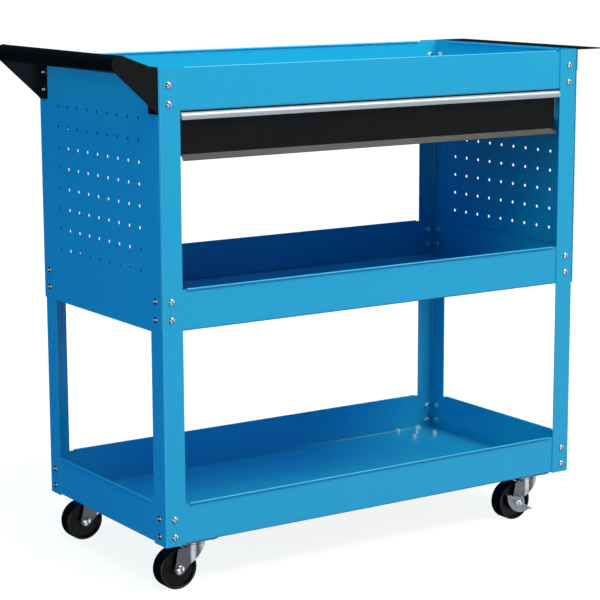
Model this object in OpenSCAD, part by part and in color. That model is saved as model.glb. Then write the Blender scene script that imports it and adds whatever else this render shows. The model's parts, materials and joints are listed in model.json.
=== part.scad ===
// Rolling tool cart: four folded corner posts, three pan shelves, pegboard ends,
// one drawer on telescopic slides, a push handle, a side shelf and four swivel casters.
// X runs along the front, Y runs from the front (-Y) to the back, Z is up, the floor is Z = 0.
// "End" means the left or right side of the cart.

/* [Frame] */
// Width over the corner posts
body_w = 774; // [740:1:860]
// Depth over the corner posts
body_d = 375; // [370:1:440]
// Length of a corner post
post_h = 702; // [690:1:760]
// Width of each flange of a corner post
flange_w = 34; // [30:1:38]
// Sheet thickness of the corner posts
post_t = 1.5; // [1.2:0.1:1.8]
// Outer bend radius of the corner posts
post_bend = 3; // [2:0.5:4]

/* [Trays] */
// Height of a tray over its rolled edge
tray_h = 62.5; // [55:0.5:66]
// Underside of the middle tray above the foot of the posts
middle_z = 320.5; // [300:0.5:340]
// Underside of the top tray above the foot of the posts
top_z = 638.5; // [625:0.5:639]
// Sheet thickness of the trays, the end panels and the drawer
sheet_t = 1; // [0.8:0.1:1.2]
// Radius of the bend between a tray's floor and its walls
tray_bend = 3; // [2:0.5:5]
// Radius of the rolled edge on a tray's walls
bead_r = 1.6; // [1.3:0.1:2]
// Distance from a post flange to the end of a rolled edge
bead_gap = 8; // [5:1:15]

/* [Pegboard] */
// Spacing of the pegboard holes
peg_pitch = 31.75; // [25:0.25:33]
// Diameter of a pegboard hole
peg_d = 5.2; // [4:0.1:6.5]
// Number of holes along the depth
peg_columns = 9; // [3:1:9]
// Number of holes in height
peg_rows = 8; // [3:1:8]
// Height of the top row above the foot of the posts
peg_top_z = 626.6; // [600:0.1:627]
// Lower edge of a peg panel above the foot of the posts
panel_z = 319.5; // [300:0.5:325]

/* [Handle] */
// Diameter of the handle tube
tube_d = 25.4; // [22:0.1:30]
// Distance from the end of the cart to the tube's centre line
tube_out = 61; // [50:1:75]
// Height of the tube's centre line above the foot of the posts
tube_z = 707.5; // [700:0.5:715]
// Wall thickness of the handle tube
tube_wall = 1.5; // [1:0.1:2]
// Sheet thickness of the handle brackets
bracket_t = 2; // [1.5:0.5:3]
// Width of the bracket flange that is bolted to the end
bracket_w = 27; // [26:1:34]
// Height of the bracket flange
bracket_h = 67; // [60:1:80]

/* [Side shelf] */
// Reach of the side shelf beyond the corner posts
shelf_out = 61; // [40:1:100]
// Height of the shelf's bolted flange
shelf_flange = 34.5; // [32:0.5:50]
// Sheet thickness of the side shelf
shelf_t = 1.2; // [1:0.1:2]

/* [Drawer] */
// Face of the drawer behind the front of the posts
front_set = 7.4; // [6:0.1:9]
// Gap between each end of the drawer front and the post beside it
front_gap = 5.2; // [4:0.1:8]
// Gap between each end of the pull strip and the post beside it
pull_gap = 1.5; // [1:0.1:3]
// Lower edge of the drawer front above the foot of the posts
front_z = 567; // [560:0.5:570]
// Height of the folded lip along the drawer front's lower edge
lip_h = 9.5; // [8:0.5:12]
// Forward tilt of the folded lip, in degrees
lip_tilt = 35; // [25:1:40]
// Underside of the drawer box above the foot of the posts
box_z = 572; // [571:0.5:576]
// Height of the drawer box
box_h = 62; // [58:0.5:62]
// Length of the drawer box
box_len = 344; // [320:1:350]

/* [Slides] */
// Thickness of a telescopic slide
slide_t = 12.7; // [12.7:0.1:14]
// Height of a telescopic slide
slide_h = 45; // [45:0.5:46]
// Length of a telescopic slide
slide_len = 350; // [330:1:355]
// Sheet thickness of the slide members and hangers
slide_wall = 1.2; // [1:0.1:1.2]

/* [Casters] */
// Height of the casters' mounting faces above the floor
caster_h = 76.5; // [76.5:0.5:80]
// Wheel diameter
wheel_d = 63; // [60:0.5:63.5]
// Wheel width
wheel_w = 25; // [20:0.5:25]
// Distance that the wheel trails behind the swivel
trail = 29; // [26:0.5:30]
// Swivel centre from each end of the cart
caster_in_x = 64; // [62:1:110]
// Swivel centre from the front and from the back
caster_in_y = 37; // [36:1:60]
// Bolt spacing of the mounting plate along the cart
plate_bolt_x = 46; // [45:0.5:48]
// Bolt spacing of the mounting plate across the cart
plate_bolt_y = 48; // [45:0.5:48]
// Downward slope of the brake lever's edge, in degrees
brake_tilt = 33; // [20:1:36]

/* [Hidden] */
$fn = 64;

// Finishes
blue_paint = [0.22, 0.64, 0.83];
black_paint = [0.12, 0.12, 0.13];
zinc = [0.72, 0.73, 0.76];
steel = [0.80, 0.80, 0.82];
alloy = [0.88, 0.88, 0.90];
rubber = [0.05, 0.05, 0.06];

// Overall placing: the origin is under the middle of the whole cart, handle and shelf included
tube_r = tube_d / 2;
web_r = tube_r + 0.3;
mid_x = (tube_out + web_r - shelf_out) / 2;
half_w = body_w / 2;
half_d = body_d / 2;
foot_gap = 0.5;
foot_z = caster_h - foot_gap;
eps = 0.5;

// Frame bolts, M5, in pairs on both flanges of every post
bolt_r = 2.5;
bolt_hole_r = 2.75;
bolt_head_r = 4.6;
bolt_head_h = 3;
socket_r = 2.2;
socket_deep = 1.6;
nut_flats = 8;
nut_h = 4;
thread_play = 0.05;
thread_end = 3;
bolt_pitch = 27;
bolt_low_z = [14, 338.5, 649.5];
bolt_in_front = 15.5;
bolt_in_end = 18;
BOTTOM = 0;
MIDDLE = 1;
TOP = 2;

// Trays sit inside the posts
tray_half_x = half_w - post_t;
tray_half_y = half_d - post_t;
wall_h = tray_h - bead_r;
bead_half_x = half_w - flange_w - bead_gap;
bead_half_y = half_d - flange_w - bead_gap;
OUT = 1;
IN = -1;

// End panels and what is bolted over them
panel_in = half_w;
panel_out = half_w + sheet_t;
panel_corner_r = 3;
kink_out = 10;
flange_corner_r = 4;

// Drawer and slides, measured along X from the middle of the cart
opening_half = half_w - flange_w;
hanger_x = opening_half + 1;
hanger_corner_r = 7;
hanger_foot_w = 18;
hanger_end = 5;
hanger_z = 587;
box_half = hanger_x - slide_t;
slide_z = foot_z + 612;
slide_y = -half_d + 12;
rivet_r = 2;
rivet_hole_r = 2.05;
rivet_head_r = 3.2;
rivet_head_h = 0.8;
rivet_row = [-130, 0, 130];
front_half = opening_half - front_gap;
pull_half = opening_half - pull_gap;
front_y = -half_d + front_set;
lip_bend = 1.5;
box_front_y = front_y + sheet_t;
pull_top = 636.5;
pull_wall = 1.5;
pull_nose_r = 6;
pull_leg_t = 3;
pull_leg_h = 9.5;
pull_face_y = -3;
pull_screw_z = foot_z + 630;
pull_screw_x = [-270, -90, 90, 270];

// Caster, measured from the swivel centre on the floor
axle_z = wheel_d / 2;
axle_r = 3;
plate_t = 2.5;
plate_x = 60;
plate_y = 62;
plate_corner_r = 4;
race_r = 20.6;
race_z = 67.8;
crown_z = 62;
fork_t = 2;
crown_top = crown_z + fork_t;
crown_left = 15;
cup_r = 20;
rim_h = 3;
leg_out = 16.5;
leg_in = leg_out - fork_t;
fork_end_r = 8.6;
fork_left = 31.5;
fork_knee = [-11.6, 37.6];
fork_right = 17;
flank_inset = 0.05;
ball_r = 1.85;
ball_ring_r = 15.5;
ball_count = 16;
pin_r = 4;
pin_play = 0.06;
pin_head_r = 7;
pin_head_h = 3.5;
pin_gap = 0.3;
stud_r = 3;
stud_top = caster_h + sheet_t + 13;
sleeve_r = 5;
wheel_play = 0.05;
hub_r = 10;
hub_half = 14.2;
web_half = 9;
rim_in_r = 27.4;
edge_r = 2.5;
face_r = 0.6;
lever_t = 1.8;
lever_gap = 0.15;
lever_chord = 2.6;
lever_shift = 2.5;
lever_low = 15;
lever_r = 32;
lever_eye_r = 10;
lever_flange = 7;
axle_head_r = 6.5;
axle_head_h = 3.2;
axle_nut_flats = 10;
axle_nut_h = 5;
axle_end = 5;

// ---------------------------------------------------------------- placing helpers

// Draws a right-hand piece at either end of the cart: side is 1 for right, -1 for left
module at_end(side) {
    translate([mid_x, 0, 0]) {
        if (side < 0) mirror([1, 0, 0]) children();
        else children();
    }
}

// Draws a back right-hand piece at any corner: front is -1, back is 1
module at_corner(side, depth) {
    at_end(side) {
        if (depth < 0) mirror([0, 1, 0]) children();
        else children();
    }
}

module at_swivel(side, depth) {
    translate([mid_x + side * (half_w - caster_in_x), depth * (half_d - caster_in_y), 0])
        children();
}

module at_axle() translate([-trail, 0, axle_z]) rotate([90, 0, 0]) children();

// Extrudes a YZ outline along +X, and an XZ outline along +Y
module along_x(length) rotate([90, 0, 90]) linear_extrude(length) children();
module along_y(length) translate([0, length, 0]) rotate([90, 0, 0]) linear_extrude(length) children();

// ---------------------------------------------------------------- outlines

// Bent angle with its outer corner at the origin and legs along -X and -Y
module angle_outline(leg_x, leg_y, t, r) {
    difference() {
        union() {
            translate([-leg_x, -t]) square([leg_x - r, t]);
            translate([-t, -leg_y]) square([t, leg_y - r]);
            intersection() {
                translate([-r, -r]) circle(r);
                translate([-r, -r]) square(r);
            }
        }
        translate([-r, -r]) circle(r - t);
    }
}

module rounded_rect(w, h, r) {
    square([w - 2 * r, h], center = true);
    square([w, h - 2 * r], center = true);
    for (x = [-1, 1], y = [-1, 1])
        translate([x * (w / 2 - r), y * (h / 2 - r)]) circle(r);
}

// Rectangle that stands on the X axis, with rounded lower corners
module round_foot(half, h, r) {
    translate([-half, r]) square([2 * half, h - r]);
    translate([r - half, 0]) square([2 * (half - r), h]);
    for (s = [-1, 1]) translate([s * (half - r), r]) circle(r);
}

// ---------------------------------------------------------------- fasteners

// Pan head screw on +Z, its shank running down from the bearing face
module pan_screw(r, head_r, head_h, length) {
    dome_r = (head_r * head_r + pow(head_h * 0.7, 2)) / (2 * head_h * 0.7);
    difference() {
        union() {
            intersection() {
                cylinder(h = head_h, r = head_r);
                translate([0, 0, head_h - dome_r]) sphere(dome_r);
            }
            translate([0, 0, -length]) cylinder(h = length + head_h / 2, r = r);
        }
        translate([0, 0, head_h - socket_deep])
            cylinder(h = socket_deep + eps, r = socket_r, $fn = 6);
    }
}

// Hexagon nut standing on Z = 0, with its corners rounded off
module hex_nut(flats, h, bore_r) {
    difference() {
        intersection() {
            cylinder(h = h, r = flats / sqrt(3), $fn = 6);
            translate([0, 0, h * 0.4]) sphere(flats * 0.63);
        }
        translate([0, 0, -eps]) cylinder(h = h + 2 * eps, r = bore_r);
    }
}

// Blind rivet: flat head on +Z, stack of the given thickness below it, then the formed tail
module rivet(stack, tail_r, tail_h) {
    cylinder(h = rivet_head_h, r = rivet_head_r);
    translate([0, 0, -stack]) cylinder(h = stack, r = rivet_r);
    translate([0, 0, -stack - tail_h]) cylinder(h = tail_h, r = tail_r);
}

function pair_z(level) = [for (k = [0, 1]) foot_z + bolt_low_z[level] + k * bolt_pitch];

// Thickness of what is bolted over the end flange of a post
function end_stack(side, level, upper) =
    level == BOTTOM ? 0
    : level == MIDDLE ? sheet_t
    : side < 0 ? sheet_t + bracket_t
    : upper ? sheet_t + shelf_t
    : sheet_t;

// Bolt holes of the levels named, at the back right corner
module corner_bores(levels) {
    for (level = levels, z = pair_z(level)) {
        translate([half_w - bolt_in_front, half_d, z]) rotate([90, 0, 0])
            cylinder(h = 20, r = bolt_hole_r, center = true);
        translate([half_w, half_d - bolt_in_end, z]) rotate([0, 90, 0])
            cylinder(h = 20, r = bolt_hole_r, center = true);
    }
}

// Places children at every frame bolt, +Z outwards and Z = 0 on the post's outer face
module each_front_bolt() {
    for (side = [-1, 1], depth = [-1, 1], level = [BOTTOM, MIDDLE, TOP], z = pair_z(level))
        at_corner(side, depth) translate([half_w - bolt_in_front, half_d, z])
            rotate([-90, 0, 0]) children();
}

module frame_bolts() color(steel) {
    each_front_bolt()
        pan_screw(bolt_r, bolt_head_r, bolt_head_h, post_t + sheet_t + nut_h + thread_end);
    for (side = [-1, 1], depth = [-1, 1], level = [BOTTOM, MIDDLE, TOP], upper = [0, 1]) {
        over = end_stack(side, level, upper == 1);
        at_corner(side, depth)
            translate([half_w + over, half_d - bolt_in_end, pair_z(level)[upper]])
            rotate([0, 90, 0])
            pan_screw(bolt_r, bolt_head_r, bolt_head_h,
                      over + post_t + sheet_t + nut_h + thread_end);
    }
}

module frame_nuts() color(steel) {
    each_front_bolt() mirror([0, 0, 1]) translate([0, 0, post_t + sheet_t])
        hex_nut(nut_flats, nut_h, bolt_r + thread_play);
    for (side = [-1, 1], depth = [-1, 1], level = [BOTTOM, MIDDLE, TOP], z = pair_z(level))
        at_corner(side, depth)
            translate([tray_half_x - sheet_t, half_d - bolt_in_end, z]) rotate([0, -90, 0])
            hex_nut(nut_flats, nut_h, bolt_r + thread_play);
}

// ---------------------------------------------------------------- frame

module post(side, depth) color(blue_paint) at_corner(side, depth) difference() {
    translate([half_w, half_d, foot_z]) linear_extrude(post_h)
        angle_outline(flange_w, flange_w, post_t, post_bend);
    corner_bores([BOTTOM, MIDDLE, TOP]);
}

// Block with all its lower and upright edges rounded
module pan_block(half_x, half_y, h, r) {
    intersection() {
        translate([0, -half_y, 0]) along_y(2 * half_y) round_foot(half_x, h, r);
        translate([-half_x, 0, 0]) along_x(2 * half_x) round_foot(half_y, h, r);
        linear_extrude(h) rounded_rect(2 * half_x, 2 * half_y, r);
    }
}

// Open folded pan standing on Z = 0
module pan(half_x, half_y, h, t, r) {
    difference() {
        pan_block(half_x, half_y, h, r);
        translate([0, 0, t]) pan_block(half_x - t, half_y - t, h, r - t);
    }
}

// Rolled edges on the four walls, each folded OUT or IN
module beads(front_fold, end_fold) {
    fold_y = front_fold == OUT ? bead_r - sheet_t : -bead_r;
    fold_x = end_fold == OUT ? bead_r - sheet_t : -bead_r;
    for (s = [-1, 1]) {
        translate([0, s * (tray_half_y + fold_y), wall_h]) rotate([0, 90, 0])
            cylinder(h = 2 * bead_half_x, r = bead_r, center = true);
        translate([s * (tray_half_x + fold_x), 0, wall_h]) rotate([90, 0, 0])
            cylinder(h = 2 * bead_half_y, r = bead_r, center = true);
    }
}

module tray(z, level, front_fold, end_fold) {
    difference() {
        translate([mid_x, 0, z]) {
            pan(tray_half_x, tray_half_y, wall_h, sheet_t, tray_bend);
            beads(front_fold, end_fold);
        }
        for (side = [-1, 1], depth = [-1, 1]) at_corner(side, depth) corner_bores([level]);
    }
}

module top_tray() color(blue_paint) difference() {
    tray(foot_z + top_z, TOP, IN, IN);
    each_hanger_rivet() cylinder(h = 10, r = rivet_hole_r, center = true);
}

module middle_tray() color(blue_paint) tray(foot_z + middle_z, MIDDLE, OUT, IN);

module bottom_tray() color(blue_paint) difference() {
    tray(caster_h, BOTTOM, OUT, OUT);
    for (side = [-1, 1], depth = [-1, 1]) at_swivel(side, depth) {
        each_plate_bolt() cylinder(h = 10, r = bolt_hole_r, center = true);
        translate([0, 0, caster_h]) cylinder(h = 10, r = stud_r + 1, center = true);
    }
}

module peg_panel(side) color(blue_paint) at_end(side) {
    h = post_h - panel_z;
    translate([panel_in, 0, foot_z + panel_z + h / 2]) along_x(sheet_t) difference() {
        rounded_rect(body_d, h, panel_corner_r);
        for (i = [0 : peg_columns - 1], k = [0 : peg_rows - 1])
            translate([(i - (peg_columns - 1) / 2) * peg_pitch,
                       peg_top_z - panel_z - h / 2 - k * peg_pitch]) circle(d = peg_d);
        for (s = [-1, 1], z = concat(pair_z(MIDDLE), pair_z(TOP)))
            translate([s * (half_d - bolt_in_end), z - foot_z - panel_z - h / 2])
                circle(bolt_hole_r);
    }
}

// ---------------------------------------------------------------- handle and side shelf

module handle_tube() color(black_paint) at_end(-1) {
    length = body_d - 2 * bracket_t;
    translate([half_w + tube_out, -length / 2, foot_z + tube_z]) along_y(length)
        difference() {
            circle(tube_r);
            circle(tube_r - tube_wall);
        }
}

// Point where the tangent from p touches the circle (c, r), on the side given by turn
function tangent(c, r, p, turn) =
    let (v = p - c, a = atan2(v[1], v[0]) + turn * acos(r / norm(v)))
    c + r * [cos(a), sin(a)];

// Side view of the bracket's web: a round end about the tube, sloping to the flange
module bracket_web_outline() {
    centre = [half_w + tube_out, tube_z];
    toe = [panel_out, post_h - bracket_h];
    heel = [panel_out, post_h];
    kink = [half_w + kink_out, post_h];
    polygon([toe, heel, kink, tangent(centre, web_r, kink, -1), centre,
             tangent(centre, web_r, toe, 1)]);
    translate(centre) circle(web_r);
}

// Flange outline in YZ with one rounded lower corner on its inner side
module bracket_flange_outline() {
    low = post_h - bracket_h;
    inner = half_d - bracket_w;
    translate([inner, low + flange_corner_r]) square([bracket_w, bracket_h - flange_corner_r]);
    translate([inner + flange_corner_r, low]) square([bracket_w - flange_corner_r, bracket_h]);
    translate([inner + flange_corner_r, low + flange_corner_r]) circle(flange_corner_r);
}

module handle_bracket(depth) color(black_paint) at_corner(-1, depth) difference() {
    union() {
        translate([0, half_d - bracket_t, foot_z]) along_y(bracket_t) bracket_web_outline();
        translate([panel_out, 0, foot_z]) along_x(bracket_t) bracket_flange_outline();
    }
    corner_bores([TOP]);
}

module side_shelf() color(black_paint) at_end(1) difference() {
    translate([panel_out, -half_d, foot_z + post_h]) along_y(body_d) mirror([1, 0])
        angle_outline(shelf_out - sheet_t, shelf_flange, shelf_t, shelf_t + 1);
    for (s = [-1, 1])
        translate([panel_out, s * (half_d - bolt_in_end), pair_z(TOP)[1]]) rotate([0, 90, 0])
            cylinder(h = 10, r = bolt_hole_r, center = true);
}

// ---------------------------------------------------------------- slides

// Places children at the hanger rivets, Z = 0 on the top tray's floor
module each_hanger_rivet() {
    for (side = [-1, 1], y = rivet_row)
        at_end(side) translate([hanger_x + hanger_foot_w * 0.6, y, foot_z + top_z + sheet_t])
            children();
}

module hanger_rivets() color(zinc)
    each_hanger_rivet() rivet(sheet_t + slide_wall, rivet_r + 0.8, 2);

// Hanging plate with a foot that is riveted under the top tray
module slide_hanger(side) color(blue_paint) difference() {
    drop = top_z - hanger_z;
    at_end(side) translate([hanger_x, 0, foot_z + hanger_z]) {
        along_x(slide_wall) round_foot(half_d - hanger_end, drop, hanger_corner_r);
        translate([0, hanger_end - half_d, drop - slide_wall])
            cube([hanger_foot_w, body_d - 2 * hanger_end, slide_wall]);
    }
    each_hanger_rivet() cylinder(h = 10, r = rivet_hole_r, center = true);
    each_slide_rivet() cylinder(h = 10, r = rivet_hole_r, center = true);
}

// Channel open towards the drawer: from and to are distances from the hanger's face
module slide_member(side, from, to, web_at, half, y, length, t) {
    at_end(side) translate([hanger_x, y, slide_z]) mirror([1, 0, 0]) {
        translate([web_at, 0, -half]) cube([t, length, 2 * half]);
        for (s = [-1, 1])
            translate([from, 0, s * half - (s + 1) / 2 * t]) cube([to - from, length, t]);
    }
}

// Places children at the slide rivets, +Z towards the drawer, Z = 0 inside the outer member
module each_slide_rivet() {
    for (side = [-1, 1], y = rivet_row)
        at_end(side) translate([hanger_x - slide_wall, y, slide_z]) rotate([0, -90, 0])
            children();
}

module slide_rivets() color(zinc) each_slide_rivet() rivet(2 * slide_wall, rivet_r + 1, 2.5);

module slide_outer(side) color(zinc) difference() {
    slide_member(side, 0, 9.8, 0, slide_h / 2, slide_y, slide_len, slide_wall);
    each_slide_rivet() cylinder(h = 10, r = rivet_hole_r, center = true);
}

module slide_middle(side) color(zinc)
    slide_member(side, 2.4, 11, 2.4, slide_h / 2 - 3.8, slide_y + 2, slide_len - 4, slide_wall);

module slide_inner(side) color(zinc) difference() {
    slide_member(side, 4.8, slide_t, slide_t - slide_wall, slide_h / 2 - 8.3,
                 slide_y, slide_len - 12, slide_wall);
    each_drawer_rivet() cylinder(h = 10, r = rivet_hole_r, center = true);
}

// Places children at the drawer rivets, +Z outwards, Z = 0 inside the inner member
module each_drawer_rivet() {
    for (side = [-1, 1], y = rivet_row)
        at_end(side) translate([box_half + slide_wall, y, slide_z]) rotate([0, 90, 0])
            children();
}

module drawer_rivets() color(zinc)
    each_drawer_rivet() rivet(slide_wall + sheet_t, rivet_r + 1, 1.2);

// ---------------------------------------------------------------- drawer

module drawer_box() color(black_paint) difference() {
    translate([mid_x, box_front_y + box_len / 2, foot_z + box_z])
        pan(box_half, box_len / 2, box_h, sheet_t, 2);
    each_drawer_rivet() cylinder(h = 10, r = rivet_hole_r, center = true);
    each_pull_screw() cylinder(h = 10, r = rivet_hole_r, center = true);
}

// Section of the drawer front: upright sheet with its lower edge folded forward
module drawer_front_outline() {
    crease_z = front_z + lip_h;
    bend_out = lip_bend + sheet_t;
    lip_len = (lip_h - bend_out * sin(lip_tilt)) / cos(lip_tilt);
    translate([front_set, crease_z]) square([sheet_t, box_z + box_h - crease_z]);
    translate([front_set - lip_bend, crease_z]) {
        intersection() {
            difference() {
                circle(bend_out);
                circle(lip_bend);
            }
            polygon(2 * bend_out * [[0, 0], [1, 0], [1, -tan(lip_tilt)]]);
        }
        rotate(-lip_tilt) translate([lip_bend, -lip_len]) square([sheet_t, lip_len]);
    }
}

module drawer_front() color(black_paint) difference() {
    translate([mid_x - front_half, -half_d, foot_z]) along_x(2 * front_half)
        drawer_front_outline();
    each_pull_screw() cylinder(h = 10, r = rivet_hole_r, center = true);
}

// Section of the pull strip: leg on the drawer front, rounded nose and hanging grip edge
module pull_outline() {
    nose = [pull_face_y + pull_nose_r, pull_top - pull_nose_r];
    grip_low = 626.8;
    translate([front_set - pull_leg_t, pull_top - pull_leg_h]) square([pull_leg_t, pull_leg_h]);
    translate([nose[0], pull_top - pull_wall])
        square([front_set + 2 * sheet_t - nose[0], pull_wall]);
    intersection() {
        translate(nose) difference() {
            circle(pull_nose_r);
            circle(pull_nose_r - pull_wall);
        }
        translate([pull_face_y, nose[1]]) square(pull_nose_r);
    }
    translate([pull_face_y, grip_low]) square([pull_wall, nose[1] - grip_low]);
    translate([pull_face_y + pull_wall / 2, grip_low]) circle(pull_wall / 2);
}

module drawer_pull() color(alloy) difference() {
    translate([mid_x - pull_half, -half_d, foot_z]) along_x(2 * pull_half) pull_outline();
    each_pull_screw() translate([0, 0, -4]) cylinder(h = 10, r = rivet_hole_r);
}

// Places children at the pull screws, +Z into the drawer, Z = 0 on the box's inner face
module each_pull_screw() {
    for (x = pull_screw_x)
        translate([mid_x + x, box_front_y + sheet_t, pull_screw_z]) rotate([-90, 0, 0])
            children();
}

module pull_screws() color(steel)
    each_pull_screw() pan_screw(rivet_r, 3.8, 2.2, 2 * sheet_t + 2);

// ---------------------------------------------------------------- casters

module each_plate_bolt() {
    for (x = [-1, 1], y = [-1, 1])
        translate([x * plate_bolt_x / 2, y * plate_bolt_y / 2, caster_h]) children();
}

module caster_plate(side, depth) color(zinc) at_swivel(side, depth) difference() {
    union() {
        translate([0, 0, caster_h - plate_t]) linear_extrude(plate_t)
            rounded_rect(plate_x, plate_y, plate_corner_r);
        translate([0, 0, race_z]) cylinder(h = caster_h - plate_t - race_z, r = race_r);
    }
    each_plate_bolt() cylinder(h = 10, r = bolt_hole_r, center = true);
    translate([0, 0, race_z - eps]) cylinder(h = caster_h, r = stud_r + thread_play);
}

module caster_bolts() color(steel)
    for (side = [-1, 1], depth = [-1, 1]) at_swivel(side, depth) each_plate_bolt()
        translate([0, 0, -plate_t]) mirror([0, 0, 1])
        pan_screw(bolt_r, bolt_head_r, 2.6, plate_t + sheet_t + nut_h + thread_end);

module caster_nuts() color(steel)
    for (side = [-1, 1], depth = [-1, 1]) at_swivel(side, depth) each_plate_bolt()
        translate([0, 0, sheet_t]) hex_nut(nut_flats, nut_h, bolt_r + thread_play);

// Shouldered pins that carry the forks, each with a stud end above the tray floor
module king_pins() color(steel)
    for (side = [-1, 1], depth = [-1, 1]) at_swivel(side, depth) {
        translate([0, 0, crown_z - pin_gap - pin_head_h])
            cylinder(h = pin_head_h, r = pin_head_r);
        translate([0, 0, crown_z - pin_gap - eps])
            cylinder(h = race_z - crown_z + pin_gap + eps, r = pin_r);
        translate([0, 0, race_z - eps]) cylinder(h = stud_top - race_z, r = stud_r);
    }

module swivel_balls() color(steel)
    for (side = [-1, 1], depth = [-1, 1]) at_swivel(side, depth)
        for (i = [0 : ball_count - 1]) rotate(i * 360 / ball_count)
            translate([ball_ring_r, 0, (crown_top + race_z) / 2]) sphere(ball_r, $fn = 24);

// Plan of the fork: a round cup about the swivel with two flat legs trailing from it
module fork_plan(r, half) {
    circle(r);
    translate([-trail - fork_end_r, -half]) square([trail + fork_end_r, 2 * half]);
}

// Side view of the fork, from the crown down to the rounded ends at the axle
module fork_side() {
    axle = [-trail, axle_z];
    top_left = [-fork_left, crown_top];
    flank_r = fork_end_r - flank_inset;
    polygon([top_left, tangent(axle, flank_r, top_left, 1), axle,
             tangent(axle, flank_r, fork_knee, -1), fork_knee, [fork_right, crown_top]]);
    translate(axle) circle(fork_end_r);
}

module fork(side, depth) color(zinc) at_swivel(side, depth) difference() {
    union() {
        intersection() {
            linear_extrude(crown_top) difference() {
                fork_plan(cup_r, leg_out);
                fork_plan(cup_r - fork_t, leg_in);
                translate([-trail - cup_r - fork_end_r, -leg_in])
                    square([trail + cup_r, 2 * leg_in]);
            }
            translate([0, -2 * cup_r, 0]) along_y(4 * cup_r) fork_side();
        }
        translate([0, 0, crown_z]) linear_extrude(fork_t) intersection() {
            fork_plan(cup_r, leg_out);
            translate([-crown_left, -cup_r]) square([crown_left + cup_r, 2 * cup_r]);
        }
        translate([0, 0, crown_top - eps]) difference() {
            cylinder(h = rim_h + eps, r = cup_r);
            translate([0, 0, -eps]) cylinder(h = rim_h + 3 * eps, r = cup_r - 1.5);
        }
    }
    cylinder(h = caster_h, r = pin_r + pin_play);
    at_axle() cylinder(h = 4 * leg_out, r = axle_r + thread_play, center = true);
}

// Distance from the wheel's mid plane to the inner and the outer face of a brake lever
lever_in = leg_out + lever_gap;
lever_out = lever_in + lever_t + lever_gap;

// Only the right-hand casters have a brake
function has_brake(side) = side > 0;

// Axle bolt, its head at the front; with a brake, its head at the back and its nut over the lever
module axle_bolt(side, depth) color(steel) at_swivel(side, depth) at_axle() {
    grip = leg_out + (has_brake(side) ? lever_out : leg_out);
    mirror([0, 0, has_brake(side) ? 1 : 0]) translate([0, 0, leg_out])
        pan_screw(axle_r, axle_head_r, axle_head_h, grip + axle_nut_h + axle_end);
}

module axle_nut(side, depth) color(steel) at_swivel(side, depth) at_axle()
    mirror([0, 0, has_brake(side) ? 0 : 1])
    translate([0, 0, has_brake(side) ? lever_out : leg_out])
    hex_nut(axle_nut_flats, axle_nut_h, axle_r + thread_play);

module wheel_sleeve(side, depth) color(steel) at_swivel(side, depth) at_axle()
    difference() {
        cylinder(h = 2 * leg_in, r = sleeve_r, center = true);
        cylinder(h = 3 * leg_in, r = axle_r + thread_play, center = true);
    }

// Half section of the wheel: hub, thin web and a rim with rounded edges
module wheel_section() {
    tread_r = wheel_d / 2;
    half = wheel_w / 2;
    bore = sleeve_r + wheel_play;
    rim_t = tread_r - rim_in_r;
    translate([bore, -hub_half]) square([hub_r - bore, 2 * hub_half]);
    translate([bore, -web_half]) square([rim_in_r - bore + face_r, 2 * web_half]);
    translate([rim_in_r, edge_r - half]) square([rim_t, 2 * (half - edge_r)]);
    translate([rim_in_r, face_r - half]) square([rim_t - edge_r, 2 * (half - face_r)]);
    translate([rim_in_r + face_r, -half]) square([rim_t - edge_r - face_r, 2 * half]);
    for (s = [-1, 1]) {
        translate([tread_r - edge_r, s * (half - edge_r)]) circle(edge_r);
        translate([rim_in_r + face_r, s * (half - face_r)]) circle(face_r);
    }
}

module wheel(side, depth) color(rubber) at_swivel(side, depth) at_axle()
    rotate_extrude($fn = 128) wheel_section();

// Brake lever's plate: a shallow disc cut along a chord, with a round eye about the axle
module lever_plate() {
    intersection() {
        translate([lever_shift, lever_r - lever_low]) circle(lever_r);
        translate([-2 * lever_r, -lever_r]) square([4 * lever_r, lever_r + lever_chord]);
    }
    circle(lever_eye_r);
}

// Upper edge of the plate, which is folded outwards and arches over the axle nut
module lever_edge() difference() {
    intersection() {
        lever_plate();
        translate([-2 * lever_r, lever_chord - lever_t]) square([4 * lever_r, lever_r]);
    }
    circle(lever_eye_r - lever_t);
}

module brake_lever(side, depth) color(zinc) at_swivel(side, depth) at_axle()
    translate([0, 0, lever_in]) rotate(-brake_tilt) difference() {
        union() {
            linear_extrude(lever_t) lever_plate();
            linear_extrude(lever_t + lever_flange) lever_edge();
        }
        translate([0, 0, -eps]) cylinder(h = lever_t + 2 * eps, r = axle_r + thread_play);
    }

// ---------------------------------------------------------------- nodes

post(-1, -1);  // post_front_left
post(1, -1);  // post_front_right
post(-1, 1);  // post_back_left
post(1, 1);  // post_back_right
top_tray();
middle_tray();
bottom_tray();
peg_panel(-1);  // peg_panel_left
peg_panel(1);  // peg_panel_right
handle_tube();
handle_bracket(-1);  // handle_bracket_front
handle_bracket(1);  // handle_bracket_back
side_shelf();
frame_bolts();
frame_nuts();
slide_hanger(-1);  // slide_hanger_left
slide_hanger(1);  // slide_hanger_right
hanger_rivets();
slide_outer(-1);  // slide_outer_left
slide_outer(1);  // slide_outer_right
slide_rivets();
slide_middle(-1);  // slide_middle_left
slide_middle(1);  // slide_middle_right
slide_inner(-1);  // slide_inner_left
slide_inner(1);  // slide_inner_right
drawer_rivets();
drawer_box();
drawer_front();
drawer_pull();
pull_screws();
caster_plate(-1, -1);  // caster_plate_front_left
caster_plate(1, -1);  // caster_plate_front_right
caster_plate(-1, 1);  // caster_plate_back_left
caster_plate(1, 1);  // caster_plate_back_right
caster_bolts();
caster_nuts();
king_pins();
swivel_balls();
fork(-1, -1);  // fork_front_left
fork(1, -1);  // fork_front_right
fork(-1, 1);  // fork_back_left
fork(1, 1);  // fork_back_right
axle_bolt(-1, -1);  // axle_bolt_front_left
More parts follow.
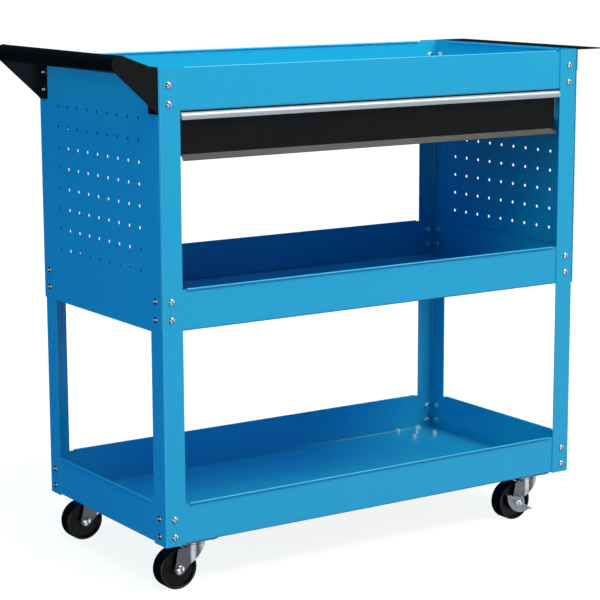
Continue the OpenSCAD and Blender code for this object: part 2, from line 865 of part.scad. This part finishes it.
axle_bolt(1, -1);  // axle_bolt_front_right
axle_bolt(-1, 1);  // axle_bolt_back_left
axle_bolt(1, 1);  // axle_bolt_back_right
wheel_sleeve(-1, -1);  // wheel_sleeve_front_left
wheel_sleeve(1, -1);  // wheel_sleeve_front_right
wheel_sleeve(-1, 1);  // wheel_sleeve_back_left
wheel_sleeve(1, 1);  // wheel_sleeve_back_right
axle_nut(-1, -1);  // axle_nut_front_left
axle_nut(1, -1);  // axle_nut_front_right
axle_nut(-1, 1);  // axle_nut_back_left
axle_nut(1, 1);  // axle_nut_back_right
wheel(-1, -1);  // wheel_front_left
wheel(1, -1);  // wheel_front_right
wheel(-1, 1);  // wheel_back_left
wheel(1, 1);  // wheel_back_right
brake_lever(1, -1);  // brake_lever_front_right
brake_lever(1, 1);  // brake_lever_back_right
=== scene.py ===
# The looks of the rolling tool cart: finishes for every CAD piece, small edge radii,
# a pale floor, soft studio light and a camera at the cart's front left.
import json
import math

import bpy
from mathutils import Matrix, Vector


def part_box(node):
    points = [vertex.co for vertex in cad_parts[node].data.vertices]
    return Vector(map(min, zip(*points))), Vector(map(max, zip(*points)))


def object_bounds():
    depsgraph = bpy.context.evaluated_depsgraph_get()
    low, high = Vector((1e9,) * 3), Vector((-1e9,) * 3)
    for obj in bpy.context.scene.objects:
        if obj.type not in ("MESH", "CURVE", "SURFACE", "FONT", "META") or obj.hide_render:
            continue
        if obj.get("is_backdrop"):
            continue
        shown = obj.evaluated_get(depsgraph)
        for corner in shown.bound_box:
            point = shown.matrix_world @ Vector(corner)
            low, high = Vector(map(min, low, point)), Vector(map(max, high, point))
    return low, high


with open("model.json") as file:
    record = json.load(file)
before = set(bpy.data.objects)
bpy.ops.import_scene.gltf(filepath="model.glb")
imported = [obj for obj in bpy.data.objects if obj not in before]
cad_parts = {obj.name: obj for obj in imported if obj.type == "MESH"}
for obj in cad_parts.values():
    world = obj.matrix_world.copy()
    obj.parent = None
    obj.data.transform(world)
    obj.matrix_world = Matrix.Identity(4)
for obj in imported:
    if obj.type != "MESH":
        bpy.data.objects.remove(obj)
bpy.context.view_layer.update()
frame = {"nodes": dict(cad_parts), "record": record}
NODES = frame["nodes"]
RECORD = frame["record"]
MM = 0.001


# ---------------------------------------------------------------- node helpers

class Finish:
    """A Principled material whose look comes from procedural nodes in object coordinates."""

    def __init__(self, name, colour, roughness, metallic=0.0, **sockets):
        self.material = bpy.data.materials.new(name)
        self.material.use_nodes = True
        self.tree = self.material.node_tree
        self.shader = self.tree.nodes["Principled BSDF"]
        self.place = self.tree.nodes.new("ShaderNodeTexCoord").outputs["Object"]
        self.set("Base Color", (*colour, 1))
        self.set("Roughness", roughness)
        self.set("Metallic", metallic)
        for key, value in sockets.items():
            self.set(key.replace("_", " "), value)
        self.material.diffuse_color = (*colour, 1)

    def set(self, socket, value):
        self.shader.inputs[socket].default_value = value

    def node(self, kind, **values):
        made = self.tree.nodes.new(kind)
        for key, value in values.items():
            setattr(made, key, value)
        return made

    def link(self, source, target):
        self.tree.links.new(source, target)

    def stretched(self, *scale):
        """Object coordinates scaled by a different amount along each axis."""
        made = self.node("ShaderNodeMapping")
        made.inputs["Scale"].default_value = scale
        self.link(self.place, made.inputs["Vector"])
        return made.outputs["Vector"]

    def noise(self, scale, detail, roughness=0.5, distortion=0.0, vector=None):
        made = self.node("ShaderNodeTexNoise")
        made.inputs["Scale"].default_value = scale
        made.inputs["Detail"].default_value = detail
        made.inputs["Roughness"].default_value = roughness
        made.inputs["Distortion"].default_value = distortion
        self.link(vector or self.place, made.inputs["Vector"])
        return made.outputs["Fac"]

    def remap(self, source, low, high, start=0.3, end=0.7):
        """The source's range from start to end, turned into the range from low to high."""
        made = self.node("ShaderNodeMapRange")
        for key, value in (("From Min", start), ("From Max", end), ("To Min", low), ("To Max", high)):
            made.inputs[key].default_value = value
        self.link(source, made.inputs["Value"])
        return made.outputs["Result"]

    def multiply(self, a, b):
        made = self.node("ShaderNodeMath", operation="MULTIPLY")
        self.link(a, made.inputs[0])
        self.link(b, made.inputs[1])
        return made.outputs["Value"]

    def blend(self, factor, a, b):
        """Colour between a and b; each is a colour or an output."""
        made = self.node("ShaderNodeMix", data_type="RGBA")
        self.link(factor, made.inputs["Factor"])
        for name, value in (("A", a), ("B", b)):
            socket = [s for s in made.inputs if s.name == name and s.type == "RGBA"][0]
            if isinstance(value, bpy.types.NodeSocket):
                self.link(value, socket)
            else:
                socket.default_value = (*value, 1)
        return [s for s in made.outputs if s.type == "RGBA"][0]

    def bump(self, height, depth, strength, under=None):
        """A normal from a height; depth in metres, laid over the normal under."""
        made = self.node("ShaderNodeBump")
        made.inputs["Distance"].default_value = depth
        made.inputs["Strength"].default_value = strength
        self.link(height, made.inputs["Height"])
        if under:
            self.link(under, made.inputs["Normal"])
        return made.outputs["Normal"]

    def use(self, **outputs):
        for key, output in outputs.items():
            self.link(output, self.shader.inputs[key.replace("_", " ")])
        return self


def scaled(colour, amount):
    return tuple(min(1.0, c * amount) for c in colour)


# ---------------------------------------------------------------- finishes

# Refractive index of paint and rubber
IOR = 1.5
# Depth of the paint's orange peel
PEEL_DEPTH = 0.02 * MM


def powder_coat(name, colour, dusky, roughness, specular):
    """Baked powder coat: faint clouds in the colour, a fine speckle and orange peel."""
    f = Finish(name, colour, roughness, IOR=IOR, Specular_IOR_Level=specular)
    clouds = f.noise(scale=4.0, detail=4.0, roughness=0.55)
    speckle = f.noise(scale=520.0, detail=2.0)
    orange_peel = f.noise(scale=260.0, detail=2.0, roughness=0.4)
    gloss_patches = f.noise(scale=22.0, detail=2.0)
    shade = f.blend(f.remap(clouds, 0.0, 1.0, 0.35, 0.65), colour, dusky)
    speckled = f.blend(f.remap(speckle, 0.0, 0.5, 0.4, 0.75), shade, scaled(colour, 1.04))
    rough = f.remap(gloss_patches, roughness - 0.02, roughness + 0.02)
    normal = f.bump(orange_peel, PEEL_DEPTH, strength=0.5)
    return f.use(Base_Color=speckled, Roughness=rough, Normal=normal).material


def zinc_plate(name, colour, dark, roughness, metallic=1.0):
    """Zinc plate: soft clouds and faint drawn lines of a duller grey."""
    f = Finish(name, colour, roughness, metallic)
    clouds = f.noise(scale=70.0, detail=3.0, distortion=0.4)
    lines = f.noise(scale=1.0, detail=4.0, roughness=0.7, vector=f.stretched(2200.0, 260.0, 260.0))
    tint = f.blend(f.remap(clouds, 0.0, 1.0, 0.36, 0.66), colour, dark)
    shade = f.blend(f.remap(lines, 0.0, 0.2, 0.4, 0.7), tint, scaled(dark, 0.8))
    rough = f.remap(clouds, roughness - 0.04, roughness + 0.06)
    waves = f.bump(clouds, 0.06 * MM, strength=0.25)
    normal = f.bump(lines, 0.01 * MM, strength=0.3, under=waves)
    return f.use(Base_Color=shade, Roughness=rough, Normal=normal).material


def brushed_aluminium(name, colour, roughness):
    """Anodised extruded aluminium, brushed along X."""
    f = Finish(name, colour, roughness, metallic=0.4)
    lines = f.noise(scale=1.0, detail=5.0, roughness=0.7, vector=f.stretched(9.0, 2600.0, 2600.0))
    clouds = f.noise(scale=9.0, detail=3.0)
    streaks = f.multiply(f.remap(lines, 0.0, 1.0, 0.35, 0.7), f.remap(clouds, 0.4, 1.0))
    shade = f.blend(streaks, colour, scaled(colour, 0.86))
    rough = f.remap(lines, roughness - 0.05, roughness + 0.1)
    normal = f.bump(lines, 0.03 * MM, strength=0.35)
    return f.use(Base_Color=shade, Roughness=rough, Normal=normal).material


def moulded_rubber(name, colour, roughness):
    """Moulded black rubber with a fine grain and a little grey dust in it."""
    f = Finish(name, colour, roughness, IOR=IOR, Specular_IOR_Level=0.4)
    grain = f.noise(scale=900.0, detail=4.0, roughness=0.65)
    dust = f.noise(scale=38.0, detail=6.0, roughness=0.65)
    dusty = tuple(c * 2.0 + 0.002 for c in colour)
    shade = f.blend(f.remap(dust, 0.0, 0.6, 0.45, 0.75), colour, dusty)
    rough = f.remap(dust, roughness - 0.04, roughness + 0.10)
    normal = f.bump(grain, 0.05 * MM, strength=0.35)
    return f.use(Base_Color=shade, Roughness=rough, Normal=normal).material


FINISHES = {
    "blue_paint": powder_coat(
        "blue_paint", (0.022, 0.435, 0.61), dusky=(0.020, 0.425, 0.60), roughness=0.22, specular=0.5),
    "black_paint": powder_coat(
        "black_paint", (0.0032, 0.0032, 0.0031), dusky=(0.0042, 0.0042, 0.0040),
        roughness=0.28, specular=0.3),
    "pull_aluminium": brushed_aluminium("pull_aluminium", (0.60, 0.585, 0.55), roughness=0.34),
    "slide_zinc": zinc_plate(
        "slide_zinc", (0.70, 0.71, 0.74), dark=(0.56, 0.57, 0.60), roughness=0.30),
    "caster_zinc": zinc_plate(
        "caster_zinc", (0.38, 0.39, 0.42), dark=(0.28, 0.29, 0.32), roughness=0.24),
    "lever_zinc": zinc_plate(
        "lever_zinc", (0.62, 0.63, 0.67), dark=(0.50, 0.51, 0.55), roughness=0.26, metallic=0.8),
    "fastener_steel": zinc_plate(
        "fastener_steel", (0.80, 0.80, 0.83), dark=(0.62, 0.62, 0.66), roughness=0.22),
    # Nuts: near-white, warm and barely metallic. This is a painted reflection of the bright
    # surroundings that steel nuts mirror, plus painted light that makes up for the shade the trays
    # cast on them
    "nut_steel_painted_shine": zinc_plate(
        "nut_steel_painted_shine", (1.0, 0.96, 0.86), dark=(0.92, 0.88, 0.79), roughness=0.20, metallic=0.15),
    "wheel_rubber": moulded_rubber("wheel_rubber", (0.002, 0.002, 0.0022), roughness=0.26),
}

SLOT_OF = {part["node"]: part["material_slot"] for part in RECORD["subparts"]}
# Bolts and pins that take the nuts' near-white finish, a painted reflection
PAINTED_SHINE_STEEL = ("axle_bolt_front_right", "axle_bolt_back_right", "caster_bolts", "king_pins")


def finish_of(name):
    """A node has its slot's finish; nuts and some bolts get a near-white finish that is a painted
    reflection, and the brake levers a brighter zinc.
    """
    if "nut" in name or name in PAINTED_SHINE_STEEL:
        return "nut_steel_painted_shine"
    return "lever_zinc" if name.startswith("brake_lever") else SLOT_OF[name]


# ---------------------------------------------------------------- edges

# Radius of the deburred or painted-over edges, by material slot; apart from the nuts, pieces
# in other slots keep the CAD's edges
EDGE_MM = {"blue_paint": 0.2, "pull_aluminium": 0.2, "slide_zinc": 0.15, "caster_zinc": 0.35}
NUT_EDGE_MM = 0.25
EDGE_SEGMENTS = 2

# Vertices closer than this are one; faces that meet below FLAT_DEG are one flat face; edges
# sharper than SHARP_DEG are rounded
JOIN_MM = 0.001
FLAT_DEG = 0.5
SHARP_DEG = 35


def soften(obj, width):
    """Round the sharp edges a little: join the faces, merge flat ones, bevel and shade."""
    join = obj.modifiers.new("join", "WELD")
    join.merge_threshold = JOIN_MM * MM
    flat = obj.modifiers.new("flat", "DECIMATE")
    flat.decimate_type = "DISSOLVE"
    flat.angle_limit = math.radians(FLAT_DEG)
    edge = obj.modifiers.new("edge", "BEVEL")
    edge.width = width
    edge.segments = EDGE_SEGMENTS
    edge.limit_method = "ANGLE"
    edge.angle_limit = math.radians(SHARP_DEG)
    edge.miter_outer = "MITER_ARC"
    shade = obj.modifiers.new("shade", "WEIGHTED_NORMAL")
    shade.keep_sharp = True


for name, obj in NODES.items():
    finish = FINISHES[finish_of(name)]
    if not len(obj.material_slots):
        obj.data.materials.append(finish)
    for slot in obj.material_slots:
        slot.material = finish
    if SLOT_OF[name] in EDGE_MM or "nut" in name:
        soften(obj, EDGE_MM.get(SLOT_OF[name], NUT_EDGE_MM) * MM)


# ---------------------------------------------------------------- floor, light and camera

# Half the length of the floor's side, in metres
FLOOR_HALF = 30.0
FLOOR_COLOUR = (0.30, 0.28, 0.14)
FLOOR_LIGHTER = (0.31, 0.29, 0.15)
FLOOR_DARKER = (0.29, 0.27, 0.13)
# What the floor sends back onto the cart
FLOOR_BOUNCE = (0.30, 0.32, 0.35)
# The floor's glow is GLOW_UNDER within GLOW_CORE metres of the cart's middle, and rises to
# GLOW_FAR at GLOW_REACH metres
GLOW_UNDER = 0.88
GLOW_FAR = 1.0
GLOW_CORE = 1.0
GLOW_REACH = 2.5

SENSOR_MM = 36.0
LENS_MM = 118.57
# Where the camera stands, in metres from the low front left corner of the front left post
CAMERA_FROM_POST = Vector((-1.3709, -2.4296, 0.8798))
CAMERA_NEAR = 0.05
CAMERA_FAR = 100.0

# What the cart's gloss mirrors: the direction of a panel's middle, its half width inside and
# outside the soft edge in degrees, and its radiance
PANELS = [
    ((0.45, -0.88, 0.05), 4, 30, 0.34),  # a wide faint glow at the front right
    ((-0.20, -0.96, -0.17), 18, 26, 1.9),  # in front, low
    ((0.99, -0.05, -0.10), 20, 34, 1.3),  # on the right
    ((-0.90, -0.42, 0.10), 14, 24, 1.2),  # on the left
    ((0.72, -0.58, -0.38), 2, 22, 0.5),  # low at the front right
    ((0.20, -0.50, -0.85), 16, 32, 0.9),  # below, towards the front
]


def floor():
    """A floor that the camera sees white, with soft shadows under the cart.

    It lights the cart as a mid grey, and the cart's gloss mirrors the surroundings instead."""
    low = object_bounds()[0][2]
    mesh = bpy.data.meshes.new("floor")
    corners = [(x * FLOOR_HALF, y * FLOOR_HALF, low) for x, y in ((-1, -1), (1, -1), (1, 1), (-1, 1))]
    mesh.from_pydata(corners, [], [(0, 1, 2, 3)])
    obj = bpy.data.objects.new("floor", mesh)
    bpy.context.scene.collection.objects.link(obj)
    f = Finish("floor", FLOOR_COLOUR, roughness=0.8, Specular_IOR_Level=0.1)
    f.use(Base_Color=f.blend(f.noise(scale=1.3, detail=3.0), FLOOR_LIGHTER, FLOOR_DARKER))
    near = f.node("ShaderNodeTexGradient", gradient_type="SPHERICAL")
    shrink = 1 / GLOW_REACH
    f.link(f.stretched(shrink, shrink, shrink), near.inputs["Vector"])
    glow = f.node("ShaderNodeEmission")
    strength = f.remap(near.outputs["Fac"], GLOW_FAR, GLOW_UNDER, 0.0, 1 - GLOW_CORE / GLOW_REACH)
    f.link(strength, glow.inputs["Strength"])
    white = f.node("ShaderNodeAddShader")
    f.link(f.shader.outputs["BSDF"], white.inputs[0])
    f.link(glow.outputs["Emission"], white.inputs[1])
    grey = f.node("ShaderNodeBsdfDiffuse")
    grey.inputs["Color"].default_value = (*FLOOR_BOUNCE, 1)
    path = f.node("ShaderNodeLightPath")
    seen = f.node("ShaderNodeMixShader")
    f.link(path.outputs["Is Camera Ray"], seen.inputs["Fac"])
    f.link(grey.outputs["BSDF"], seen.inputs[1])
    f.link(white.outputs["Shader"], seen.inputs[2])
    f.link(seen.outputs["Shader"], f.tree.nodes["Material Output"].inputs["Surface"])
    mesh.materials.append(f.material)
    obj.visible_glossy = False
    obj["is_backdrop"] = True


def softbox(name, place, aim, size, radiance, colour, mirrored=True):
    """A rectangle of even light, in metres, given by how bright its face is."""
    width, height = size
    data = bpy.data.lights.new(name, "AREA")
    data.shape = "RECTANGLE"
    data.size = width
    data.size_y = height
    data.energy = radiance * math.pi * width * height
    data.color = colour
    obj = bpy.data.objects.new(name, data)
    bpy.context.scene.collection.objects.link(obj)
    obj.visible_camera = False
    obj.visible_glossy = mirrored
    obj.location = place
    obj.rotation_euler = (Vector(aim) - Vector(place)).to_track_quat("-Z", "Y").to_euler()


def mirrored_panel(tree, around, middle, inner, outer, radiance, dark=0.0):
    """How bright a soft-edged round panel looks in the direction around, on a dark ground."""
    toward = tree.nodes.new("ShaderNodeVectorMath")
    toward.operation = "DOT_PRODUCT"
    toward.inputs[1].default_value = Vector(middle).normalized()
    tree.links.new(around, toward.inputs[0])
    edge = tree.nodes.new("ShaderNodeMapRange")
    edge.interpolation_type = "SMOOTHSTEP"
    edge.inputs["From Min"].default_value = math.cos(math.radians(outer))
    edge.inputs["From Max"].default_value = math.cos(math.radians(inner))
    edge.inputs["To Min"].default_value = dark
    edge.inputs["To Max"].default_value = radiance
    tree.links.new(toward.outputs["Value"], edge.inputs["Value"])
    return edge.outputs["Result"]


def by_ray(tree, ray, when, otherwise):
    """One shader for one kind of ray, and another for all other rays."""
    path = tree.nodes.new("ShaderNodeLightPath")
    mix = tree.nodes.new("ShaderNodeMixShader")
    tree.links.new(path.outputs[ray], mix.inputs["Fac"])
    tree.links.new(otherwise.outputs[0], mix.inputs[1])
    tree.links.new(when.outputs[0], mix.inputs[2])
    return mix


def studio(seen, ambient, mirrored, dark, panels):
    """Surroundings: what the camera sees, what lights the cart and what its gloss mirrors.

    The gloss mirrors a dark room with round soft-edged panels, as PANELS gives them."""
    world = bpy.data.worlds.new("studio")
    world.use_nodes = True
    tree = world.node_tree
    around = tree.nodes.new("ShaderNodeTexCoord").outputs["Generated"]
    level = mirrored_panel(tree, around, *panels[0], dark)
    for panel in panels[1:]:
        total = tree.nodes.new("ShaderNodeMath")
        tree.links.new(level, total.inputs[0])
        tree.links.new(mirrored_panel(tree, around, *panel), total.inputs[1])
        level = total.outputs["Value"]
    lit = tree.nodes["Background"]
    reflected = tree.nodes.new("ShaderNodeBackground")
    shown = tree.nodes.new("ShaderNodeBackground")
    for background, colour in ((lit, ambient), (reflected, mirrored), (shown, seen)):
        background.inputs["Color"].default_value = (*colour, 1)
        background.inputs["Strength"].default_value = 1.0
    tree.links.new(level, reflected.inputs["Strength"])
    away = by_ray(tree, "Is Glossy Ray", when=reflected, otherwise=lit)
    mix = by_ray(tree, "Is Camera Ray", when=shown, otherwise=away)
    tree.links.new(mix.outputs[0], tree.nodes["World Output"].inputs["Surface"])
    bpy.context.scene.world = world


def camera(place, azimuth, tilt, roll, lens):
    """A camera at a place, turned by angles in degrees from looking level along +Y."""
    data = bpy.data.cameras.new("camera")
    data.lens = lens
    data.sensor_width = SENSOR_MM
    data.clip_start = CAMERA_NEAR
    data.clip_end = CAMERA_FAR
    obj = bpy.data.objects.new("camera", data)
    bpy.context.scene.collection.objects.link(obj)
    turn = Matrix.Rotation(math.radians(-azimuth), 4, "Z")
    pitch = Matrix.Rotation(math.radians(90 - tilt), 4, "X")
    twist = Matrix.Rotation(math.radians(roll), 4, "Z")
    obj.matrix_world = Matrix.Translation(place) @ turn @ pitch @ twist
    bpy.context.scene.camera = obj


floor()
softbox("key", place=(2.2, -2.9, 4.3), aim=(0.2, 0, 0.5), size=(4.0, 2.2), radiance=5.6,
        colour=(1.0, 1.0, 0.90))
softbox("front", place=(-0.4, -3.0, 4.3), aim=(0.1, -0.1, 0.5), size=(4.6, 2.0), radiance=3.8,
        colour=(1.0, 1.0, 0.54), mirrored=False)
softbox("top", place=(0.2, -0.3, 3.6), aim=(0.1, -0.2, 0), size=(3.2, 2.2), radiance=2.2,
        colour=(0.90, 1.0, 1.0))
softbox("left", place=(-4.5, -1.2, 1.6), aim=(-0.2, 0, 0.5), size=(3.0, 2.4), radiance=1.8,
        colour=(0.10, 0.85, 0.88), mirrored=False)
studio(seen=(1, 1, 1), ambient=(0.0, 0.16, 0.74), mirrored=(0.97, 0.98, 1.0), dark=0.015,
       panels=PANELS)
bpy.context.scene.view_settings.view_transform = "Standard"

post_corner = Vector(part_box("post_front_left")[0])
camera(post_corner + CAMERA_FROM_POST, azimuth=33.49, tilt=10.386, roll=-0.195, lens=LENS_MM)
